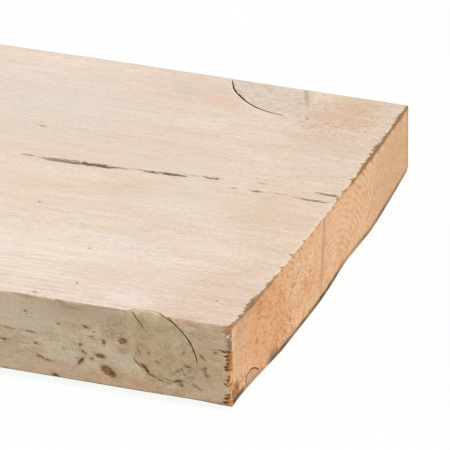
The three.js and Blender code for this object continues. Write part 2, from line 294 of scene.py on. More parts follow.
def under_height(x, y):
    """The sawn underside: the outline UNDER read at y, its flat widened towards mid-length, and the wane raised by
    a slow cosine along the length, more towards the far edge and by nothing at the splintered end."""
    swell, middle = 1 - (x / END) ** 2, (BELLY_NEAR + BELLY_FAR) / 2
    edges = NEAR, BELLY_NEAR, middle, BELLY_FAR, FAR
    seen = [e + swell * s for e, s in zip(edges, (0, -NEAR_SWELL, 0, FAR_SWELL, 0))]
    at = np.where(y >= FAR, FAR, 0.0)
    for e0, e1, s0, s1 in zip(edges, edges[1:], seen, seen[1:]):
        at = at + np.where((y >= s0) & (y < s1), e0 + (y - s0) / (s1 - s0) * (e1 - e0), 0)
    z = np.interp(at, UNDER[:, 0], UNDER[:, 1])
    wave = (1 - np.cos(2 * np.pi * (END - x) / WANE_WAVE_LENGTH)) / 2
    return z + WANE_WAVE * wave * smooth(y, BELLY_FAR, FAR) * share(TOP - TOP_ARRIS - z, 0, THICKNESS)


def ease(y, z, flat, corner, into, radius):
    """Rounds an arris: a point nearer to the corner than the radius goes on to the quarter circle there, at 45
    degrees for the corner itself and in step with its distance on either side."""
    away = np.where(flat, np.abs(y - corner[0]), np.abs(z - corner[1]))
    turn = np.pi / 4 * np.clip(1 - away / radius, 0, 1)
    slide, drop = radius * (1 - np.sin(turn)), radius * (1 - np.cos(turn))
    new_y = np.where(flat, corner[0] + into[0] * slide, y + into[0] * drop)
    new_z = np.where(flat, z + into[1] * drop, corner[1] + into[1] * slide)
    return np.where(away < radius, new_y, y), np.where(away < radius, new_z, z)


def out_of_square(inward):
    """The saw ran a little off square: how far the end stands out, falling evenly from the near edge to the far."""
    return OFF_SQUARE / 2 - OFF_SQUARE * inward / WIDTH


def jump(i, step, least=0.0):
    """Shares from least to 1 that jump about: the fraction of each number times the step."""
    return least + (1 - least) * (i * step % 1)


def top_teeth():
    """Teeth of torn fibre along the top arris, in step with the solids: each one's place, half width, depth and
    reach jump about by the root of two, pi, the golden mean and e. They are fewer and finer at mid-width."""
    count = int(WIDTH // TOOTH_PITCH)
    i = np.arange(count)
    centre = (i + jump(i, math.sqrt(2), 0.25) - 0.125) * WIDTH / count
    half = 0.8 * TOOTH_PITCH / 2 * TOOTH_LAP * jump(i, math.pi, 0.5)
    some = 1 - 0.65 * np.exp(-(((centre - 97) / 22) ** 2))
    bite, reach = TOOTH_BITE * jump(i, GOLDEN, 0.15), TOOTH_REACH * jump(i, math.e, 0.15)
    return np.stack([centre, half, some * bite, some * reach], 1)


def rubbed(behind):
    """Radius of the near top arris: worn rounder by the side knot, and wandering along the length."""
    worn = WORN * np.exp(-(((behind - WORN_AT) / WORN_LENGTH) ** 2))
    return TOP_ARRIS + worn + ARRIS_WANDER * (1 + wander((END - behind) / ARRIS_WAVE, 0, 0, 5))


def torn(along, behind, teeth):
    """Depth of the torn fibre at each place, and how many millimetres inside a tooth's rim it lies: every tooth is
    a tent that falls off along the arris and back from the end, and the deepest tooth counts."""
    depth, inside = np.zeros(along.shape), np.full(along.shape, OUTSIDE)
    along = along + 0.45 * wander(along / 1.1, behind / 1.4, 0, 51)
    for centre, half, deep, reach in teeth:
        tent = 1 - np.abs(along - centre) / half - behind / reach
        depth = np.maximum(depth, deep * np.clip(tent, 0, 1) ** 0.75)
        inside = np.maximum(inside, tent * reach)
    return depth, inside


def stations():
    """Places along the length, across the width and up the thickness (this one as a share): close together by the
    splintered end, the arrises and the heart slits, and further apart where the board is plain."""
    gaps = [0.3, 0.3, 0.35, 0.35, 0.4, 0.4, 0.4, 0.5, 0.5, 0.6, 0.7] + [1.05] * 54 + [1.95] * 58
    while sum(gaps) < LENGTH - 22:
        gaps.append(min(gaps[-1] * 1.1, 18))
    behind = np.concatenate([[0], np.cumsum(gaps)])
    behind = np.append(behind[behind < LENGTH - 8], [LENGTH - 4, LENGTH - 1.5, LENGTH - 0.5, LENGTH])
    rim = np.array([0, 0.45, 0.85, 1.3, 2.0, 3.0, 4.2])
    body = np.arange(5.9, WIDTH - 5, 1.9)
    body = body[(body < 110) | (body > 121)]
    y = NEAR + np.unique(np.round(np.concatenate([rim, body, np.arange(110.6, 120.8, 0.85), WIDTH - rim]), 3))
    lip = np.array([0, 0.35, 0.7, 1.1, 1.6])
    up = np.concatenate([lip, np.linspace(2.1, THICKNESS - 2.1, 57), THICKNESS - lip])
    return END - behind[::-1], y, np.unique(np.round(up / THICKNESS, 5))


def spread(behind):
    """Share of the bake's width: the logarithm of the distance behind the splintered end, so that the detailed end
    gets the most of it."""
    return np.log1p(behind / 60) / math.log1p(LENGTH / 60)


def gouged(x, z):
    """Depth of the gouges at places on the near edge: half ellipsoids with frayed rims."""
    fray, depth = 1 + 0.2 * wander(x / 0.9, 0, z / 0.7, 11), 0
    for behind, up, length, height, deep, lean in GOUGES:
        cos, sin = math.cos(math.radians(lean)), math.sin(math.radians(lean))
        dx, dz = x - (END - behind), z - (LOW + up)
        r = fray * np.hypot((dx * cos + dz * sin) / (length / 2), (dz * cos - dx * sin) / (height / 2))
        depth = depth + deep * np.sqrt(np.clip(1 - r * r, 0, 1))
    return depth


def slit(x, inward):
    """Depth of the heart slits at places on the top: pointed grooves whose width wavers."""
    depth = 0
    for behind, middle, length, width in SLITS:
        lens = np.sqrt(np.clip(1 - (2 * (x - (END - behind)) / length) ** 2, 0, 1))
        half = width / 2 * lens * (1 + 0.35 * wander(x / 2.2, middle, 1, 21)) + 0.3
        depth = depth + SLIT_DEPTH * lens * np.clip(1 - np.abs(inward - middle) / half, 0, 1)
    return depth


def board_skin():
    """The whole board as one closed skin. A ring round the section (underside, far edge, top, near edge) is carried
    along the length, and the grid over each end is blended from its four sides: opposite sides mixed linearly
    both ways, less the mixed corners (a Coons patch). Gouges, slits and torn fibre are taken from the skin along
    its face's normal."""
    x, y, w = stations()
    nx, ny, nw = len(x), len(y), len(w)
    ring_y = np.concatenate([y[:-1], np.full(nw - 1, FAR), y[:0:-1], np.full(nw - 1, NEAR)])
    ring_w = np.concatenate([np.zeros(ny - 1), w[:-1], np.ones(ny - 1), w[:0:-1]])
    corners = np.array([0, ny - 1, ny + nw - 2, 2 * ny + nw - 3])
    nr = len(ring_y)
    face = np.searchsorted(corners, np.arange(nr), side="right") - 1
    X, Y0 = np.broadcast_arrays(x[:, None], ring_y)
    behind, inward = END - X, Y0 - NEAR
    low, high = under_height(X, Y0), top_height(Y0)
    Z0 = low + (high - low) * ring_w
    Y, Z = Y0.copy(), Z0.copy()

    # arrises: sharper near the splintered end than further back
    level = np.isin(face, (UNDER_FACE, TOP_FACE))
    flat = level | np.isin(np.arange(nr), corners)
    near_low = SHARP_ARRIS + (LOW_ARRIS - SHARP_ARRIS) * smooth(behind, 30, 90)
    far_top = 0.2 + TOP_ARRIS * smooth(behind, 110, 170)
    for side, corner_y, rise, corner_z, radius in (
        (1, NEAR, 1, low, near_low), (1, NEAR, -1, high, rubbed(behind)),
        (-1, FAR, 1, low, WANE_ARRIS + 0 * X), (-1, FAR, -1, high, far_top),
    ):
        mine = ((ring_w < 0.5) == (rise > 0)) & ((ring_y < 0) == (side > 0))
        ey, ez = ease(Y, Z, flat, (corner_y, corner_z), (side, rise), radius)
        Y, Z = np.where(mine, ey, Y), np.where(mine, ez, Z)

    # torn fibre, gouges, slits, and faces that are a little uneven except at the end itself
    on_top, on_near = face == TOP_FACE, (face == NEAR_FACE) | (np.arange(nr) == corners[3])
    side_bite, side_in = torn(Z0 - LOW, behind, NEAR_TEETH)
    top_bite, top_in = torn(inward, behind, top_teeth())
    inside = np.where(on_near, side_in, np.where(on_top, top_in, OUTSIDE))
    rough = sum(high * wander(X / long, Y0 / wide, Z0 / wide, seed) for high, long, wide, seed in UNEVEN)
    rough = rough * np.clip((behind - 1) / 6, 0, 1)
    Y += np.where(on_near, side_bite + np.abs(rough), 0) + np.where(face == NEAR_FACE, gouged(X, Z0), 0)
    Z += np.where(on_top, rough - top_bite - slit(X, inward), 0)

    # the near lower corner droops at the end, and the saw ran off square
    Z -= DROOP * smooth(behind, DROOP_LENGTH, 0) * np.clip(1 - inward / DROOP_WIDTH, 0, 1) * (1 - ring_w)
    X = X + out_of_square(inward) * smooth(behind, OFF_LENGTH, 0)
    points, depths = [np.stack([X, Y, Z], -1).reshape(-1, 3)], [inside.ravel()]
    index = np.arange(nx * nr).reshape(nx, nr)
    beside = np.roll(index, -1, axis=1)
    quads = [np.stack([index[:-1], beside[:-1], beside[1:], index[1:]], -1).reshape(-1, 4)]
    kinds = [np.broadcast_to(face, (nx - 1, nr)).ravel()]

    # the bake's map: one strip for each long face, and one patch for each end
    start, stop = STRIPS[face].T
    across = np.where(level, (ring_y - NEAR) / WIDTH, ring_w)
    here, there = (start + (stop - start) * at for at in (across, np.roll(across, -1)))
    u = 0.005 + 0.99 * spread(END - x)[:, None]
    around = (u[:-1], here), (u[:-1], there), (u[1:], there), (u[1:], here)
    maps = [np.stack([np.stack(np.broadcast_arrays(*at), -1) for at in around], 2).reshape(-1, 4, 2)]

    first = nx * nr
    s, t = ((y - NEAR) / WIDTH)[:, None, None], w[None, :, None]
    fore, aft = slice(1, None), slice(None, -1)
    around = [(aft, aft), (fore, aft), (fore, fore), (aft, fore)]
    turns = around, [around[i] for i in (0, 3, 2, 1)]
    for row, turned, (left, foot, wide, tall) in zip((nx - 1, 0), turns, END_PATCHES):
        grid = np.zeros((ny, nw), dtype=np.int64)
        edge = index[row]
        grid[:-1, 0], grid[-1, :-1] = edge[:corners[1]], edge[corners[1]:corners[2]]
        grid[:0:-1, -1], grid[0, :0:-1] = edge[corners[2]:corners[3]], edge[corners[3]:]
        rim = points[0][grid]
        place = (1 - t) * rim[:, :1] + t * rim[:, -1:] + (1 - s) * rim[:1] + s * rim[-1:]
        place -= (1 - t) * ((1 - s) * rim[0, 0] + s * rim[-1, 0]) + t * ((1 - s) * rim[0, -1] + s * rim[-1, -1])
        fill = place[1:-1, 1:-1].reshape(-1, 3)
        grid[1:-1, 1:-1] = first + np.arange(len(fill)).reshape(ny - 2, nw - 2)
        first += len(fill)
        points.append(fill)
        depths.append(np.full(len(fill), OUTSIDE))
        uv = np.stack(np.broadcast_arrays(left + wide * s[..., 0], foot + tall * t[..., 0]), -1)
        quads.append(np.stack([grid[a] for a in turned], -1).reshape(-1, 4))
        maps.append(np.stack([uv[a] for a in turned], 2).reshape(-1, 4, 2))
        kinds.append(np.full((ny - 1) * (nw - 1), 4))
    points, kinds = np.concatenate(points), np.concatenate(kinds)
    low, high = under_height(points[:, 0], points[:, 1]), top_height(points[:, 1])
    rims = np.stack([points[:, 2] - low, high - points[:, 2], points[:, 1] - NEAR], -1)
    return mesh_of("board_skin", points, np.concatenate(quads), np.choose(kinds, [0, 1, 0, 1, 2]),
                   np.concatenate(maps), torn=np.concatenate(depths), rims=rims)


def mesh_of(name, points, faces, finishes, uv, **extra):
    """A mesh from arrays in millimetres: points, faces of equal corner count, a finish number and a map for each
    face, and named numbers or vectors for each point."""
    mesh = bpy.data.meshes.new(name)
    mesh.vertices.add(len(points))
    mesh.vertices.foreach_set("co", (points / 1000).astype(np.float32).ravel())
    mesh.loops.add(faces.size)
    mesh.loops.foreach_set("vertex_index", faces.astype(np.int32).ravel())
    mesh.polygons.add(len(faces))
    mesh.polygons.foreach_set("loop_start", np.arange(0, faces.size, faces.shape[1], dtype=np.int32))
    mesh.update(calc_edges=True)
    mesh.polygons.foreach_set("material_index", np.asarray(finishes, dtype=np.int32))
    mesh.uv_layers.new(name="OFBake").uv.foreach_set("vector", uv.astype(np.float32).ravel())
    for key, values in extra.items():
        kind, slot = ("FLOAT", "value") if values.ndim == 1 else ("FLOAT_VECTOR", "vector")
        mesh.attributes.new(key, kind, "POINT").data.foreach_set(slot, values.astype(np.float32).ravel())
    mesh.shade_smooth()
    return mesh


def gather(shells):
    """Several shells, each with points and faces, as one."""
    starts = np.cumsum([0] + [len(points) for points, _ in shells])
    return np.concatenate([points for points, _ in shells]), np.concatenate(
        [faces + start for (_, faces), start in zip(shells, starts)])


def on_face(face, first, up):
    """Places on a face of the board in millimetres, with the way out of it: behind and inward on the top, behind
    and up on the near edge, inward and up on the splintered end. On the near edge a place that lies on the rounded
    top arris slides in along it, and back and down in step with that."""
    first, up = np.asarray(first, float), np.asarray(up, float)
    if face == "top":
        y = NEAR + up
        return np.stack([END - first, y, top_height(y)], -1), np.array([0, 0, 1.0])
    if face == "near":
        radius, slide = rubbed(first), 0
        for _ in range(12):
            over = np.clip(up - SLIDE_DOWN * slide - THICKNESS + radius, 0, radius)
            slide = (slide + radius - np.sqrt(radius**2 - over**2)) / 2
        place = END - first - SLIDE_BACK * slide, NEAR + slide, LOW + up - SLIDE_DOWN * slide
        return np.stack(place, -1), np.array([0, -1.0, 0])
    return np.stack([np.full(first.shape, END), NEAR + first, LOW + up], -1), np.array([1.0, 0, 0])


def knot_rim(knot, start, stop, steps):
    """Points round a knot's leaning oval, from one angle to another, as places on its face."""
    face, a, b, half_length, half_width, lean = knot
    turn, tilt = np.radians(np.linspace(start, stop, steps)), math.radians(lean)
    along, over = half_length * np.cos(turn), half_width * np.sin(turn)
    right, up = along * math.cos(tilt) - over * math.sin(tilt), along * math.sin(tilt) + over * math.cos(tilt)
    return on_face(face, a + right if face == "end" else a - right, b + up)


def blade(path, out, width, depth, seed):
    """A crack's room: a narrow V carried along a path, its width and depth swelling as the root of the sine of the
    way along, wandering a little to either side, and pointed at both ends."""
    n = len(path)
    t = np.linspace(0, 1, n)
    swell = np.sin(np.pi * np.clip(t, 0.004, 0.996)) ** 0.6
    tangent = np.gradient(path, axis=0)
    across = np.cross(tangent, out)
    across /= np.linalg.norm(across, axis=1, keepdims=True)
    step = np.linalg.norm(tangent, axis=1).cumsum()
    path = path + across * (0.22 * swell * wander(step / 3.0, seed, 0, 41))[:, None]
    half = width / 2 * swell * (1 + 0.4 * wander(step / 1.6, seed, 0, 42))
    half, deep = half[:, None], (depth * swell)[:, None]
    top, waist = across * half * BLADE_TOP, across * half * BLADE_WAIST
    rise, drop = out * BLADE_PROUD, out * WAIST_DEPTH * deep
    ring = path - top + rise, path + top + rise, path + waist - drop, path - out * deep, path - waist - drop
    return closed_sweep(np.stack(ring, 1))


def closed_sweep(section):
    """Rings of points along a path as one closed shell of triangles, with a fan over the first and last ring."""
    n, k = section.shape[:2]
    index = np.arange(n * k).reshape(n, k)
    beside = np.roll(index, -1, axis=1)
    walls = np.stack([index[:-1], beside[:-1], beside[1:], index[1:]], -1).reshape(-1, 4)
    walls = np.concatenate([walls[:, [0, 1, 2]], walls[:, [0, 2, 3]]])
    ends = (0, 1), (-1, -1)
    caps = [[index[e, 0], index[e, i + 1], index[e, i]][::way] for e, way in ends for i in range(1, k - 1)]
    return section.reshape(-1, 3), np.concatenate([walls, np.array(caps)])


def sliver(start, bend, turn, tip, thick):
    """A loose fibre: a flat six-sided ring carried along a Bezier through four places (behind, inward, up), full at
    its root and thinning to a point as the root of what is left of the way."""
    way = bezier(start, bend, turn, tip, 9)
    path = np.stack([END - way[:, 0] + out_of_square(way[:, 1]), NEAR + way[:, 1], LOW + way[:, 2]], -1)
    t = np.linspace(0, 1, len(path))[:, None]
    tangent = np.gradient(path, axis=0)
    side = np.cross(tangent, (0.3, 0.8, 0.5))
    side /= np.linalg.norm(side, axis=1, keepdims=True)
    over = np.cross(tangent, side)
    over /= np.linalg.norm(over, axis=1, keepdims=True)
    half = thick / 2 * np.clip(1 - t, 0.02, 1) ** 0.5
    angles = np.arange(6) * np.pi / 3
    ring = [path + side * half * math.cos(a) + over * half * FLATNESS * math.sin(a) for a in angles]
    return closed_sweep(np.stack(ring, 1))


def slivers():
    """The loose fibres: those seen down the near arris one by one, and short ones along the top arris whose places,
    lengths and leans follow the fractions of their number times the golden mean and roots."""
    parts = [sliver(*one) for one in SLIVERS]
    for i in range(TOP_SLIVERS):
        inward = 1.5 + (WIDTH - 3) * ((i + 0.7 * jump(i, GOLDEN)) / TOP_SLIVERS)
        if SPARSE_FROM < inward < SPARSE_TO and i % 2:
            continue
        size, lean = 0.7 + 1.1 * jump(i, math.sqrt(2)), 2.4 * jump(i, math.sqrt(3)) - 1.0
        lift = jump(i, math.sqrt(5))
        root = top_height(NEAR + inward) - LOW - 0.45 - 0.6 * lift
        parts.append(sliver(
            (0.7, inward, root), (0.1, inward + 0.3 * lean, root + 0.25 * size),
            (-0.35 * size, inward + 0.7 * lean, root + 0.3 * size),
            (-0.5 * size, inward + lean, root + (0.7 * lift - 0.3) * size), 0.42 + 0.3 * lift,
        ))
    points, faces = gather(parts)
    x, y, _ = np.moveaxis(points[faces], -1, 0)
    uv = np.stack([0.01 + 0.98 * (y - NEAR + 2) / (WIDTH + 4), 0.01 + 0.98 * np.clip((END + 3 - x) / 8, 0, 1)], -1)
    return mesh_of("slivers", points, faces, np.zeros(len(faces)), uv)


def cracks():
    """All the open cracks and splits as one mesh of blades, to be cut from the board."""
    blades = [(*knot_rim(knot, a, b, 60), width, depth) for knot, a, b, width, depth in KNOT_CRACKS]
    for (b0, u0), (b1, u1), width, depth in SPLITS:
        blades.append((*on_face("near", np.linspace(b0, b1, 24), np.linspace(u0, u1, 24)), width, depth))
    points, faces = gather([blade(*one, seed) for seed, one in enumerate(blades)])
    x, y, _ = np.moveaxis(points[faces], -1, 0)
    uv = np.stack([0.68 + 0.3 * share(END - x, 0, 75), 0.95 + 0.03 * share(y, NEAR, FAR)], -1)
    return mesh_of("crack_blades", points, faces, np.full(len(faces), 3), uv)


# ---------------------------------------------------------------- marks of the faces
# all of them ovals on their face, as in Wood; a stain also has its colour and its share

# broad pale, grey and tan stains of the top
TOP_STAINS = [
    (100, 25, 62, 26, (253, 237, 224), 0.6), (150, 165, 45, 24, (236, 224, 214), 0.5),
    (75, 150, 90, 34, (221, 202, 188), 0.34), (122, 156, 26, 12, (230, 222, 216), 0.35),
    (56, 98, 34, 24, (220, 200, 180), 0.4), (9, 192, 18, 6, (210, 184, 164), 0.4),
    (84, 187, 17, 11, (220, 201, 183), 0.6), (14, 175, 24, 26, 10, (218, 186, 160), 0.5),
    (21, 179, 14, 10, 12, (214, 172, 138), 0.4), (95, 130, 40, 22, (232, 212, 192), 0.5),
    (67, 176.5, 8, 4.5, -20, (235, 198, 172), 0.6), (92, 95, 38, 6, 12, (232, 203, 170), 0.42),
    (128, 95, 20, 9, (242, 210, 196), 0.45), (50, 30, 15, 13, (226, 198, 176), 0.4),
    (55, 90, 17, 9, (246, 236, 225), 0.3), (42, 10, 9, 6, (248, 236, 227), 0.6),
    (65, 29, 13, 6, (232, 214, 188), 0.4), (19, 1.2, 6, 1.6, (200, 176, 146), 0.7),
    (14, 22, 22, 26, (222, 190, 166), 0.6), (8, 100, 22, 44, (226, 194, 168), 0.5),
    (30, 60, 20, 12, (240, 220, 202), 0.4),
]
# faint tails of the slits, and short dark grain lines
SLIT_TAILS = [
    (120.4, 113.3, 2.8, 0.75), (84.0, 114.1, 3.2, 0.6), (78, 115.1, 2.6, 0.35), (56.4, 117.2, 2.4, 0.3),
    (39.4, 112.4, 1.6, 0.5), (30.5, 119.2, 1.8, 0.4), (22.0, 113.1, 2.2, 0.35), (124, 137.5, 1.6, 0.5),
    (32.3, 173.3, 1.0, 0.6), (43, 173.6, 1.2, 0.5),
]
# long thin grain lines beyond the slits
GRAIN_LINES = [
    (93, 137.2, 32, 0.35), (88, 139.6, 26, 0.3), (98, 144.2, 30, 0.35), (70, 131, 22, 0.3), (40, 150, 20, 0.3),
]
# brown specks in the top
TOP_SPECKS = [
    (102.5, 77.5, 0.7, 0.6), (71.3, 46.2, 0.6, 0.6), (64.7, 15.7, 0.6, 0.6), (76, 2.5, 1.0, 0.6),
    (12.3, 19.2, 0.6, 0.6),
]
# stains of the near edge
EDGE_STAINS = [
    (60, 10, 12, 5, (208, 200, 178), 0.45), (45, 13, 6, 4, -40, (210, 200, 178), 0.5),
    (80, 22, 16, 5, (204, 192, 168), 0.4), (78, 5, 12, 3, (204, 192, 170), 0.4),
    (6, 25.5, 7, 5, (200, 174, 146), 0.5), (8, 4, 8, 4, (204, 174, 146), 0.5),
    (41.2, 15.3, 2.2, 1.6, (164, 122, 86), 0.5), (16, 8, 7, 4, (190, 176, 152), 0.45),
    (58, 29, 14, 2.5, (188, 160, 134), 0.5), (45, 24, 5, 5, (172, 156, 130), 0.45),
    (9, 15, 8, 9, (196, 162, 130), 0.5), (100, 8, 18, 5, (182, 154, 122), 0.4),
    (62, 27, 20, 5, (190, 174, 148), 0.6), (92, 24, 22, 8, (210, 192, 166), 0.75),
    (70, 1.5, 18, 3.5, (206, 172, 140), 0.5), (40, 2.5, 12, 2.5, (200, 166, 132), 0.5),
]
# dark ground-in pits of the near edge, most of them in a gouge
PITS = [
    (47.2, 5.6, 3.2, 1.6, -30), (50.3, 11.3, 1.8, 0.9, -8), (57.7, 8.2, 2.1, 0.6, 52), (57.8, 14.7, 1.0, 0.4, 84),
    (56.6, 12.2, 1.2, 0.4, -35), (53.2, 10, 0.8, 0.5, -20), (55.5, 22.1, 0.9, 0.5, -20), (41.6, 18.7, 1.6, 1.2, 20),
    (48.7, 17.3, 0.5, 0.9), (33.2, 9.3, 1.9, 0.5, -48), (35.3, 16, 0.4, 1.1, 25), (67.7, 0.9, 0.8, 0.7),
    (87.2, 12, 1.1, 0.5), (73, 7.6, 1.5, 0.35, -20), (70, 6.6, 1.7, 0.3, -6), (75, 12.7, 1.1, 0.4, -15),
    (20.8, 6, 1.4, 0.5, 10), (19.0, 5.0, 1.0, 0.6, -15), (16.6, 12.6, 1.2, 0.4, -10), (11, 17.6, 1.2, 0.35, -52),
    (6.2, 20.2, 0.6, 0.4), (9.9, 13.2, 0.4, 0.5, 10), (9.6, 10.6, 0.6, 0.4),
]
# fainter flecks of the near edge
FAINT_MARKS = [
    (52.5, 21, 0.7, 0.4), (53.5, 18.9, 0.9, 0.35, 10), (78.8, 25, 0.7, 0.5), (85.7, 17.2, 3.0, 0.35, -6),
    (77, 17, 2.2, 0.4, -4), (18.2, 18, 0.8, 0.4, 40), (20.1, 10.6, 1.5, 0.45, 30), (28.3, 12.8, 0.9, 0.5, -20),
    (10.4, 12.3, 1.3, 0.45, -40), (9.2, 10.2, 0.9, 0.5, 20), (12.8, 5.2, 1.8, 0.4, -30), (24, 6.4, 1.6, 0.3, -15),
    (64, 12, 0.8, 0.4), (66, 22, 0.7, 0.35), (92, 20, 2.4, 0.3), (30, 7.2, 2.2, 0.25, -18),
    (36.1, 11.6, 1.2, 0.3, -45), (31.5, 16, 0.5, 0.6),
]
# brown rubs just under the near top arris
ARRIS_RUBS = [
    (79.2, 31.2, 3.4, 0.5, -4), (65.3, 31, 1.2, 0.4), (61, 29.2, 2.8, 0.4, -3), (46, 31.2, 6, 0.35, 3),
]
# dirt in small specks: an oval patch of the near edge, the grain and seed of its specks, and the band that shows
DIRT = [
    ((45.3, 23.5, 4.2, 3.6, 0), 0.5, (0.9, 0.9, 0.8), 41, (0.0, 0.8)),
    ((17.8, 8.4, 4.6, 4.2, 30), 0.5, (1.3, 0.9, 0.7), 42, (0.12, 0.62)),
    ((10.5, 12.5, 3.0, 4.2, 20), 0.5, (1.1, 0.9, 0.6), 46, (0.2, 0.8)),
    ((4.1, 28.9, 2.2, 1.6, -33), 0.5, (1.2, 0.9, 0.5), 47, (-0.1, 0.7)),
    ((41, 16.5, 5, 5, 0), 0.6, (1.0, 0.9, 0.8), 48, (0.5, 1.0)),
]
# stains of the splintered end, and one painted shade: the grey-brown oval at 17, 29.4 just under the near top arris
END_STAINS_AND_SHADE = [
    (8, 18, 7, 12, -10, (226, 180, 142), 0.55), (26, 6, 7, 4, 10, (238, 190, 156), 0.55),
    # the second oval on this line, at 17, 29.4, is painted shade under the torn top arris
    (36, 17, 26, 16, (222, 156, 94), 0.5), (17, 29.4, 13, 2.6, -6, (180, 138, 98), 0.35),
    (8, 25.5, 5, 4, -30, (206, 164, 126), 0.5), (31, 25, 4, 2.4, (204, 134, 76), 0.5),
    (177, 14, 24, 16, (216, 172, 132), 0.6), (120, 20, 22, 10, (246, 202, 160), 0.4),
    (75, 8, 14, 6, (236, 180, 132), 0.3), (82, 28, 14, 5, (228, 172, 122), 0.4),
]
# places on the end whose dashes are thick and red-brown
END_FLECKED = [(31, 24, 7, 4), (55, 4, 14, 6), (46, 1, 4, 2.5), (81, 12, 7, 6)]
# the heart of the tree, low under the board's middle, and the width of a growth ring
PITH_Y, PITH_Z, RING = 10.0, -10.0, 2.6
# the heart slits by number, with the pale and the dark of their walls
SLIT_TONES = [((0,), (168, 156, 136), (112, 100, 82)), (range(1, 8), (132, 114, 90), (70, 57, 41))]


# ---------------------------------------------------------------- finishes

def paint(red, green, blue):
    """A colour written as 0 to 255 screen values, as the linear numbers that the shaders take."""
    c = np.array([red, green, blue]) / 255
    return (*np.where(c <= 0.04045, c / 12.92, ((c + 0.055) / 1.055) ** 2.4), 1.0)


def operator(operation, swapped=False):
    """A method that lays down one Math node for a term and another term or number."""
    def method(self, other):
        return self.wood.math(operation, *((other, self) if swapped else (self, other)))
    return method


class Term:
    """A number that varies over the wood; sums, products and bounds of terms are laid down as Math nodes."""

    __add__ = __radd__ = operator("ADD")
    __mul__ = __rmul__ = operator("MULTIPLY")
    __sub__, __rsub__ = operator("SUBTRACT"), operator("SUBTRACT", True)
    __truediv__, __rtruediv__ = operator("DIVIDE"), operator("DIVIDE", True)
    least, most = operator("MINIMUM"), operator("MAXIMUM")

    def __init__(self, wood, socket):
        self.wood, self.socket = wood, socket

    def abs(self):
        """The term without its sign."""
        return self.wood.math("ABSOLUTE", self)

    def band(self, start, stop):
        """Smoothstep from 0 at start to 1 at stop."""
        node = self.wood.node("MapRange", self, start, stop, 0.0, 1.0, interpolation_type="SMOOTHSTEP")
        return Term(self.wood, node.outputs["Result"])


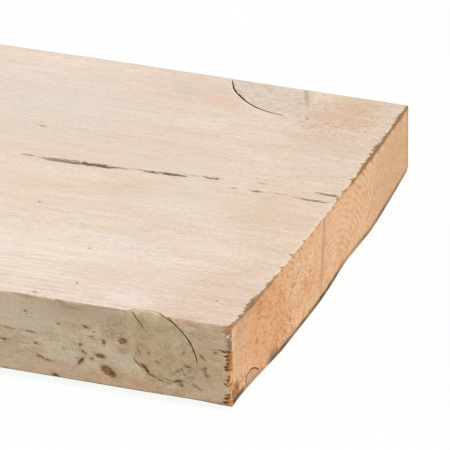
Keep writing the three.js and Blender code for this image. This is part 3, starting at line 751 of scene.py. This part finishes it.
class Wood:
    """One finish of the board and the shorthand its recipe is written in. Places are in millimetres of the board:
    behind the splintered end, inward from the near edge, up from the low arris. An oval is its middle on its face,
    its half length and half width, and its lean in degrees. A plain colour is written as 0 to 255 screen values."""

    def __init__(self, name):
        self.material, self.colour = bpy.data.materials.new(name), None
        self.tree = new_tree(self.material)
        self.place = self.vector("MULTIPLY", self.node("TexCoord").outputs["Object"], (1000, 1000, 1000))
        x, self.y, self.height = self.split(self.place)
        self.behind, self.inward, self.up = END - x, self.y - NEAR, self.height - LOW

    # each of the next six makes one node: node gives the node itself, math and split terms, the others an output
    def node(self, kind, *values, **settings):
        return fed(self.tree, kind, *values, **settings)

    def math(self, operation, *values):
        return Term(self, self.node("Math", *values, operation=operation).outputs[0])

    def vector(self, operation, *values):
        node = self.node("VectorMath", *values, operation=operation)
        return node.outputs["Value" if operation == "DOT_PRODUCT" else "Vector"]

    def split(self, vector):
        return [Term(self, out) for out in self.node("SeparateXYZ", vector).outputs]

    def join(self, *terms):
        return self.node("CombineXYZ", *terms).outputs[0]

    def attribute(self, name, out="Fac"):
        return self.node("Attribute", attribute_name=name).outputs[out]

    def noise(self, size, seed, detail=2.0, at=None, rough=0.5):
        """Noise from about -1 to 1, with grains of the given size in millimetres along, across and up."""
        sizes = size if isinstance(size, tuple) else (size, size, size)
        scale, away = tuple(1 / s for s in sizes), (17.3 * seed, 5.9 * seed, 9.1 * seed)
        spot = self.vector("MULTIPLY_ADD", at or self.place, scale, away)
        node = self.node("TexNoise", spot, 0.0, 1.0, detail, rough)
        return self.math("MULTIPLY_ADD", Term(self, node.outputs[0]), 3.2, -1.6)

    def blend(self, under, over, how_much):
        """One colour laid over another by a share."""
        node = self.node("Mix", how_much, data_type="RGBA")
        for value, socket in zip((under, over), node.inputs[6:8]):
            put(self.tree, paint(*value) if isinstance(value, tuple) else value, socket)
        return node.outputs[2]

    def lay(self, over, how_much):
        """Lays a colour over what the wood has so far."""
        self.colour = self.blend(self.colour, over, how_much)

    def stain(self, face, rows, how_much=1.0):
        """Lays soft ovals of colour on a face: each row is an oval, its colour and its share."""
        for *oval, colour, its_share in rows:
            self.lay(colour, self.patch(face, *oval) * (how_much * its_share))

    def oval(self, face, a, b, half_length, half_width, lean=0.0):
        """A leaning oval on a face: the places along and over it, 1 at its rim, for any point beside it."""
        first, second, middle = {
            "top": (0, 1, (END - a, NEAR + b)), "near": (0, 2, (END - a, LOW + b)),
            "end": (1, 2, (NEAR + a, LOW + b)),
        }[face]
        cos, sin, pair = math.cos(math.radians(lean)), math.sin(math.radians(lean)), []
        for right, up, half in ((cos, sin, half_length), (-sin, cos, half_width)):
            axis = [0.0, 0.0, 0.0]
            axis[first], axis[second] = right / half, up / half
            way = Term(self, self.vector("DOT_PRODUCT", self.place, axis))
            pair.append(way - (axis[first] * middle[0] + axis[second] * middle[1]))
        return pair

    def reach(self, oval):
        """Distance from an oval's middle, 1 at its rim."""
        along, over = oval
        return self.math("SQRT", along * along + over * over)

    def patch(self, face, *oval, edge=0.5):
        """A soft oval patch, 1 in the middle and fading to 0 just outside its rim."""
        return self.reach(self.oval(face, *oval)).band(1 + edge, 1 - edge)

    def gap(self, face, ovals):
        """The distance in millimetres to the nearest of several ovals, negative inside one."""
        small = [min(oval[2:4]) for oval in ovals]
        return reduce(Term.least, (
            self.math("MULTIPLY_ADD", self.reach(self.oval(face, *oval)), s, -s) for oval, s in zip(ovals, small)))

    def rim_line(self, knot, start, stop, width, wobble):
        """A line round part of a knot's rim: 1 on it, fading over its width in millimetres and past its angles."""
        oval = self.oval(*knot)
        middle, span = math.radians((start + stop) / 2), math.radians((stop - start) / 2)
        turn = self.math("WRAP", self.math("ARCTAN2", oval[1], oval[0]) - middle, math.pi, -math.pi).abs()
        off = ((self.reach(oval) - 1) * ((knot[3] + knot[4]) / 2) + wobble).abs()
        return off.band(width / 2 + 0.15, width / 2 - 0.15) * turn.band(span, span * 0.86)

    def finish(self, height, relief, roughness):
        """Puts the colour, the relief in millimetres and the roughness on a plain matt shader."""
        bump, shader = self.node("Bump", 1.0, relief / 1000), self.node("BsdfPrincipled", self.colour)
        for value, node, name in (
            (height, bump, "Height"), (0.25, shader, "Specular IOR Level"), (roughness, shader, "Roughness"),
            (bump, shader, "Normal"), (shader, self.node("OutputMaterial"), "Surface"),
        ):
            put(self.tree, value, node.inputs[name])
        return self.material


def growth(wood, y, z, ring=RING):
    """Growth rings: the distance from the heart in ring widths, wavering slowly along the board. Returns the place
    within each ring, from 0 just after winter to 1 at the next one."""
    slow, quick = wood.noise((260, 42, 42), 3, 1.0), wood.noise((55, 9, 9), 4, 1.0)
    away = wood.math("SQRT", (y - PITH_Y) * (y - PITH_Y) + (z - PITH_Z) * (z - PITH_Z))
    return wood.math("FRACT", (away + 1.9 * slow + 0.45 * quick) / ring)


def late_wood(ring):
    """The darker, harder part of each ring: it builds up slowly and ends sharply."""
    return ring.band(0.1, 0.8) * ring.band(1.0, 0.84)


def weathered_face():
    """Top and underside: bleached, raised grain parting round the edge knot, soft stains and black heart slits."""
    w = Wood("weathered_face")
    away = w.reach(w.oval(*EDGE_KNOT))
    curl = w.patch("top", 14, 174, 20, 22, edge=0.6)
    sway = 1.1 * w.noise((75, 24, 24), 10, 1.0) + (0.3 + 1.3 * curl) * w.noise((13, 6, 6), 9, 1.0)
    y = w.y + 9.0 / (away * away + 0.75) + sway
    grain = w.join(w.behind, y, w.height)
    late = late_wood(growth(w, y, w.height))
    fuzz = w.noise((1.5, 0.95, 0.95), 8, at=grain, rough=0.6)
    fine = w.noise((4.6, 0.85, 0.85), 11, at=grain, rough=0.6)
    mid, broad = w.noise((13, 1.9, 1.9), 12, at=grain), w.noise((80, 4.6, 4.6), 13, at=grain)
    cloud = w.noise((34, 20, 20), 14)

    # winter wood worn down in lines: beside the near edge, and all over far behind the splintered end
    combed = w.patch("top", 92, 17, 44, 18, edge=0.45).most(w.behind.band(130, 180) * 0.6)
    combed = combed * w.noise((26, 8, 8), 7).band(-0.9, 0.3)
    wide = growth(w, y, w.height, 3.3)
    comb = combed * wide.band(0.05, 0.5) * wide.band(1.0, 0.55)
    strong = 0.6 + 0.4 * w.behind.band(110, 20) + 0.42 * w.inward.band(80, 20)
    tone = 0.2 + strong * ((0.26 + 0.3 * curl) * fuzz + 0.26 * fine + 0.19 * mid) + 0.17 * broad + 0.10 * cloud
    tone = tone + 0.05 * late + 0.46 * comb
    w.colour = w.blend((250, 232, 215), (203, 176, 148), tone)
    for colour, size, seed, full, its_share in (
        ((243, 210, 194), (48, 15, 15), 15, 1.2, 0.5), ((232, 206, 170), (44, 8, 8), 16, 1.0, 0.55),
        ((232, 226, 217), (50, 20, 20), 17, 1.2, 0.5),
    ):
        w.lay(colour, w.noise(size, seed).band(0.0, full) * its_share)
    w.stain("top", TOP_STAINS, 0.75 + 0.35 * w.noise((12, 4, 4), 18))

    # short brown and cream dashes where the grain curls beside the knot, and thinner ones all over
    stain = w.patch("top", 21, 177, 19, 16, 10)
    dash = 0.8 * fuzz + 0.55 * fine
    w.lay((172, 124, 92), dash.band(0.1, 1.1) * (0.1 + 0.55 * stain))
    w.lay((250, 232, 212), dash.band(-0.1, -1.0) * (0.1 + 0.3 * stain))

    # inside the edge knot: greyer, with faint broken rings of its own and a smudge
    edge = w.noise(5, 19)
    inner = (away + 0.03 * edge).band(1.0, 0.94) * (w.behind + 0.8 * edge).band(33.5, 38.5)
    net = w.noise((4, 2.2, 4), 20, 3.0, rough=0.6)
    circles = w.math("FRACT", away * 6 + 0.5 * net).band(0.3, 1.0)
    core = w.blend((238, 221, 205), (192, 172, 150), 0.30 + 0.42 * net + 0.18 * circles + 0.25 * fuzz)
    w.lay(core, inner * 0.78)
    smudge = w.gap("top", [(38.3, 189.2, 0.8, 5.8, 21)]) + 0.6 * w.noise((2.2, 1.6, 2), 23, 3.0, rough=0.6)
    w.lay((182, 165, 138), smudge.band(0.6, -0.5) * 0.7)
    unmarked = w.colour

    # the cracks' rims, and the side knot where it comes out over the arris
    faint = w.rim_line(EDGE_KNOT, 308, 345, 0.5, 0.5 * edge) * w.noise(2.2, 24).band(-0.2, 0.7)
    w.lay((132, 112, 88), faint * 0.6)
    dark = w.blend((46, 34, 22), (112, 88, 62), w.behind.band(62, 42))
    w.lay(dark, w.rim_line(EDGE_KNOT, 211, 319, 0.6, 0.12 * edge) * 0.85)
    w.lay((190, 170, 141), w.reach(w.oval(*WANE_KNOT)).band(0.96, 0.7) * 0.85)
    w.lay((128, 104, 76), w.rim_line(WANE_KNOT, 16, 136, 0.45, 0.12 * edge) * 0.85)

    # heart slits with frayed rims and faint tails, and a few dark grain lines and specks
    fray, depth = w.noise((1.6, 0.5, 0.5), 21), w.noise((4, 0.8, 0.8), 22)
    for numbers, pale, black in SLIT_TONES:
        near = w.gap("top", [(a, b, length / 2, width / 2) for a, b, length, width in (SLITS[i] for i in numbers)])
        w.lay(w.blend(pale, black, depth.band(-0.7, 0.8)), (near + 0.45 * fray).band(0.4, -0.3) * 0.9)
    w.lay((142, 124, 100), (w.gap("top", SLIT_TAILS) + 0.3 * fray).band(0.3, -0.4) * 0.7)
    broken = w.noise((7, 1, 1), 26).band(-0.2, 0.6)
    w.lay((196, 174, 152), (w.gap("top", GRAIN_LINES) + 0.5 * fray).band(0.4, -0.4) * broken * 0.45)
    w.lay((158, 126, 100), w.gap("top", TOP_SPECKS).band(0.3, -0.35) * 0.8)
    scatter = w.node("TexVoronoi", w.vector("MULTIPLY", w.place, (0.028, 0.045, 0.045)), 0.0, 1.0)
    w.lay((168, 138, 112), Term(w, scatter.outputs["Distance"]).band(0.022, 0.010) * 0.7)
    # the cracks and slits are too shallow to come through to the underside
    w.colour = w.blend(unmarked, w.colour, w.height.band(12, 20))

    # torn fibre at the splintered end shows fresh wood, most of it clear of the middle
    strand = w.noise((2.5, 0.5, 0.5), 25)
    inside = Term(w, w.attribute("torn")) + 0.45 * strand
    w.lay((240, 222, 194), (w.behind + 1.2 * strand).band(2.2, 0.6) * 0.6)
    w.lay(w.blend((214, 178, 134), (158, 118, 76), strand.band(-0.6, 0.9)), inside.band(0.1, 0.7))
    notch = w.noise((9, 0.55, 9), 27) + 0.9 * w.noise((60, 7, 60), 28, 1.0)
    sides = w.inward.band(54, 40).most(w.inward.band(116, 132))
    reach = (w.behind + 0.5 - 1.2 * notch - 1.2 * sides).band(0.5, -0.5)
    w.lay(w.blend((182, 140, 94), (120, 86, 50), fray.band(-0.6, 0.7)), reach * (0.25 + 0.7 * sides))
    height = 0.7 * fuzz + 0.6 * fine + 0.5 * mid - 0.1 * late - 0.7 * comb
    return w.finish(height, 0.16, 0.78 + 0.06 * fine)


def sawn_edge():
    """Near and far edges: grey-olive and tan mottling, grain parting round the side knot, and brown pits."""
    w = Wood("sawn_edge")
    near_side = w.y.band(-60, -90)
    away = w.reach(w.oval(*SIDE_KNOT))
    inner = (away + 0.04 * w.noise(4, 35)).band(1.04, 0.9) * near_side
    drop = (w.up - SIDE_KNOT[2]) * (0.75 / (away * away + 0.9)) * near_side
    grain = w.join(w.behind, w.y, w.height - drop + 0.5 * w.noise((20, 5, 5), 30, 1.0))
    plain = 1 - inner
    fine, mid = w.noise((2.6, 0.75, 0.75), 31, at=grain, rough=0.65), w.noise((9, 1.5, 1.5), 32, at=grain)
    grit = w.noise(1.1, 29, 3.0, rough=0.65)
    blotch, cloud = w.noise((7, 3.6, 3.6), 33, 3.0, grain, 0.65), w.noise((30, 12, 12), 34)
    tone = 0.38 + (0.30 + 0.1 * w.behind.band(30, 10)) * grit + plain * (0.28 * fine + 0.18 * mid) + 0.30 * blotch
    green, pink = w.blend((219, 201, 171), (162, 140, 107), tone), w.blend((222, 191, 161), (164, 131, 98), tone)
    w.colour = w.blend(green, pink, (cloud + 0.5 * blotch).band(-0.6, 0.5))
    mottle = w.noise((2.2, 1.8, 1.6), 36, rough=0.6)
    w.lay(w.blend((210, 187, 153), (150, 122, 88), 0.34 + 0.34 * mottle + 0.2 * blotch + 0.14 * grit), inner * 0.85)
    w.stain("near", EDGE_STAINS)

    # brown flecks everywhere, thicker in the lower half, and the marks of the near edge
    fleck, wash = w.noise((1.7, 1.0, 0.9), 37), w.noise((11, 6, 6), 38)
    w.lay((146, 110, 74), (fleck + 0.7 * wash).band(0.5, 1.2) * 0.6)
    frayed = w.noise((1.1, 0.9, 0.8), 39, 3.0, rough=0.65)
    pits = w.gap("near", PITS)
    inside = (pits + 0.6 * frayed).band(0.32, -0.32) * near_side
    hollow = w.blend((182, 146, 86), (104, 66, 22), w.noise((1.7, 1.7, 1.2), 40, 3.0).band(-0.4, 0.5))
    pit = w.blend((124, 88, 46), hollow, (pits + 0.4 * frayed).band(-0.2, -0.9))
    w.lay((188, 154, 116), pits.band(1.3, 0.2) * near_side * 0.35)
    w.lay(pit, inside * 0.88)
    w.lay((134, 102, 66), (w.gap("near", FAINT_MARKS) + 0.45 * frayed).band(0.35, -0.3) * near_side * 0.75)
    dirt = reduce(Term.most, (w.patch("near", *oval, edge=soft) * w.noise(size, seed).band(*band)
                              for oval, soft, size, seed, band in DIRT))
    w.lay((118, 90, 56), dirt * 0.72)

    # the side knot's rim: dark where it is cracked, thin and broken elsewhere, and two straight splits
    thin, broken = 0.15 * frayed, w.noise(2.0, 43).band(-0.2, 0.4)
    rim = w.rim_line(SIDE_KNOT, 34, 124, 0.5, thin)
    for start, stop, width, its_share in ((-106, -36, 0.4, 0.2 + 0.6 * broken), (-12, 34, 0.5, broken * 0.6),
                                          (150, 262, 0.4, broken * 0.3)):
        rim = rim.most(w.rim_line(SIDE_KNOT, start, stop, width, thin * 3) * its_share)
    for *oval, its_share in ((35.6, 28.5, 4.3, 0.2, -52, 0.8), (4.2, 21.6, 3.4, 0.15, 5, 0.6)):
        rim = rim.most(w.gap("near", [oval]).band(0.2, -0.1) * its_share)
    w.lay((86, 62, 36), rim * near_side * 0.85)

    # rubbed pale along the top arris, dark in the lower one
    top_gap = (top_hollow(w) - w.height) + 0.8 * w.noise((7, 2, 1.2), 44, 3.0, rough=0.65)
    w.lay((232, 212, 192), top_gap.band(1.1, 0.2) * (0.85 - 0.65 * w.patch("near", 30, 31.5, 9, 4, edge=0.4)))
    w.lay((126, 110, 88), (w.up + 0.35 * mid).band(0.9, 0.1) * near_side * 0.6)
    w.lay((164, 130, 98), w.gap("near", ARRIS_RUBS).band(0.6, -0.2) * 0.6)

    # torn fibre down the near arris: golden strands over dark brown hollows, darkest at their points, and a painted
    # shadow where the upper teeth meet the lower
    strand = w.noise((3.0, 0.9, 0.42), 45, 3.0)
    torn_in = Term(w, w.attribute("torn"))
    by_arris = w.blend((152, 96, 38), (222, 166, 98), strand.band(-0.6, 0.6))
    by_tip = w.blend((88, 50, 16), (168, 116, 54), strand.band(-0.3, 0.8))
    soft = w.blend((140, 92, 50), (206, 158, 110), strand.band(-0.6, 0.5))
    upper = w.up.band(24.4, 26.4)
    fresh = w.blend(w.blend(by_arris, by_tip, (w.behind + 0.6 * strand).band(0.4, 2.4)), soft, upper)
    # painted shadow: a brownish-grey patch on the near edge by the end, between the soft upper teeth and the torn
    # ones below
    w.lay((126, 100, 70), w.patch("near", -0.2, 24.6, 1.8, 3.0, edge=0.6) * 0.75)
    w.lay(fresh, (torn_in + 0.3 * strand).band(-0.1, 0.4) * (1 - 0.2 * upper))
    w.lay((226, 174, 124), (w.behind + 0.6 * strand).band(0.8, 0.0) * torn_in.band(0.0, 0.6) * 0.5)
    height = 0.5 * grit + plain * (0.4 * fine + 0.4 * mid) + 0.6 * blotch - 0.8 * strand * torn_in.band(-0.1, 0.35)
    return w.finish(height, 0.16, 0.82 + 0.05 * grit)


def top_hollow(wood):
    """The height of the hollow top across the board, as in the shape."""
    return wood.y * wood.y * (HOLLOW * 4 / WIDTH**2) + (TOP - HOLLOW)


def end_grain():
    """The sawn ends: orange-tan, ring arcs round the heart low in the board, broken into short upright dashes to
    the near side, with a brown torn band under the top arris."""
    w = Wood("end_grain")
    late = late_wood(growth(w, w.y, w.height))
    cut = w.join(w.behind, w.y, w.height + 0.35 * w.y)
    grit, dash = w.noise((9, 1.3, 0.8), 50, at=cut, rough=0.6), w.noise((9, 2.4, 1.5), 51, at=cut, rough=0.6)
    soft, cloud = w.noise((9, 5, 4), 52), w.noise((60, 22, 14), 53)
    nearer, middle = w.inward.band(100, 60), w.patch("end", 134, 16, 36, 40)
    rings = middle * w.noise((30, 7, 5), 59, 1.0).band(-0.9, 0.5) * (0.35 + 0.65 * w.up.band(4, 15))
    coarse = 0.62 + 0.38 * nearer
    tone = 0.38 + coarse * (0.36 * grit + 0.30 * dash) + 0.18 * soft + 0.14 * cloud + late * (0.05 + 0.34 * rings)
    w.colour = w.blend((255, 217, 177), (205, 141, 86), tone)
    patches = (w.patch("end", *oval, edge=0.6) for oval in END_FLECKED)
    flecked = reduce(Term.most, patches, w.noise((9, 8, 6), 58).band(0.3, 0.9) * nearer)
    w.lay((206, 120, 56), flecked * (dash + grit).band(-0.7, 0.7) * 0.6)
    # stains of the end, and one grey-brown oval under the near top arris that is painted shade
    w.stain("end", END_STAINS_AND_SHADE)
    w.lay((186, 106, 48), (dash + 0.8 * grit + 0.6 * soft).band(0.2, 1.1) * (0.15 + 0.4 * nearer))
    w.lay((255, 222, 184), (0.4 * soft - dash - 0.6 * grit).band(0.4, 1.2) * (0.25 + 0.25 * nearer))

    # the small knot at the bottom, and a brown heart line from top to bottom
    knot, at_end, rough = w.reach(w.oval(*END_KNOT)), w.behind.band(20, 5), w.noise(1.6, 54)
    w.lay((208, 164, 132), (knot + 0.05 * rough).band(1.0, 0.85) * at_end * 0.7)
    w.lay((148, 92, 50), w.rim_line(END_KNOT, 56, 215, 1.0, 0.3 * rough) * at_end * 0.7)
    w.lay((190, 126, 82), (w.gap("end", [(99.0, 16, 12, 0.5, 82)]) + 0.6 * rough).band(2.0, -0.4) * at_end * 0.55)

    # rims of the end: a brown band of torn fibre under the top arris, strongest to both sides; a dark low edge,
    # partly dirt and partly painted shade; darker near and far edges
    low, top, near = w.split(w.attribute("rims", "Vector"))
    strand = w.noise((9, 0.6, 3.0), 55)
    sides = w.inward.band(58, 42).most(w.inward.band(116, 132))
    band = (top + 1.2 * strand - 1.3 * sides - 0.9 * w.noise((60, 7, 60), 28, 1.0)).band(0.8, -0.7)
    brown = w.blend((184, 140, 92), (124, 88, 52), strand.band(-0.6, 0.7))
    w.lay(brown, band * (0.3 + 0.62 * sides) * at_end)
    edge = (near + 0.6 * strand).band(1.3, 0.1) * w.noise((1, 1, 2.4), 56).band(-0.4, 0.5) * w.up.band(24, 20)
    w.lay((172, 116, 58), edge * at_end * 0.6)
    corner = w.patch("end", 3.8, 3.4, 4.2, 4.4, -20, edge=0.45).most(w.patch("end", 6.5, 0.2, 8.0, 2.0, edge=0.6))
    w.lay((144, 98, 52), corner * (0.88 + 0.25 * strand + 0.3 * rough) * at_end)
    # the dark line along the low edge: partly dirt on the lower arris and partly painted shade under it
    drawn = w.inward.band(36, 44).most(w.inward.band(14, 9)) * (0.85 + 0.4 * w.noise((9, 8, 9), 57, 1.0))
    grime_and_shade = w.inward.band(128, 112).most(w.patch("end", 160, 4, 25, 20) * 0.75)
    w.lay((86, 68, 48), (low + 0.5 * rough).band(2.8, 0.9) * (0.3 + 0.66 * drawn) * (0.45 + 0.55 * grime_and_shade))
    w.lay((112, 88, 52), w.patch("end", 44, -0.4, 5, 2.2, edge=0.6) * (0.7 + 0.5 * rough) * at_end * 0.8)
    w.lay((178, 140, 102), w.inward.band(191.5, 194.8) * at_end * 0.6)
    return w.finish(0.6 * grit + 0.5 * dash + 0.3 * late, 0.14, 0.8 + 0.05 * dash)


def fresh_fibre():
    """Loose fibres: pale gold, brown in places."""
    w = Wood("fresh_fibre")
    mottle, high = w.noise((1.6, 1.6, 0.8), 62), w.up.band(14.6, 15.4)
    warm = w.blend((236, 196, 152), (202, 150, 96), mottle.band(-0.2, 0.9))
    old = w.blend((190, 152, 106), (122, 90, 54), mottle.band(-0.6, 0.6))
    old = w.blend(old, (186, 128, 66), high * w.inward.band(2.0, 1.2))
    w.colour = w.blend(warm, old, w.inward.band(1.5, 4.0).most(high))
    w.lay((240, 218, 188), w.patch("near", 2.0, 27.3, 1.6, 1.2, edge=0.4))
    return w.finish(mottle, 0.05, 0.75 + 0.03 * mottle)


def crack_wall():
    """The walls of open cracks: dark brown, a little lighter in places and at the end."""
    w = Wood("crack_wall")
    mottle = w.noise(1.5, 61)
    inner = w.blend((104, 72, 42), (140, 100, 60), mottle.band(-0.3, 1.0))
    w.colour = w.blend((176, 118, 70), inner, w.behind.band(1.0, 1.6))
    return w.finish(mottle, 0.05, 0.9 + 0.03 * mottle)


# ---------------------------------------------------------------- making

def grow_board():
    """The skin with the cracks cut out of it by a Boolean."""
    finishes = [weathered_face(), sawn_edge(), end_grain(), crack_wall()]
    skin, blades = add("raw_board", board_skin()), add("blades", cracks())
    for ob in (skin, blades):
        for finish in finishes:
            ob.data.materials.append(finish)
    cut = skin.modifiers.new("cracks", "BOOLEAN")
    cut.operation, cut.object, cut.solver, cut.material_mode = "DIFFERENCE", blades, "MANIFOLD", "INDEX"
    whole = bpy.data.meshes.new_from_object(skin.evaluated_get(bpy.context.evaluated_depsgraph_get()))
    for ob in (skin, blades):
        bpy.data.objects.remove(ob)
    whole.name = "board"
    whole.set_sharp_from_angle(angle=math.radians(40))
    return add("board", whole)


board = grow_board()
loose = add("loose_fibres", slivers())
loose.data.materials.append(fresh_fibre())
for piece in (board, loose):
    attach(piece, "root")
    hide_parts("plank")
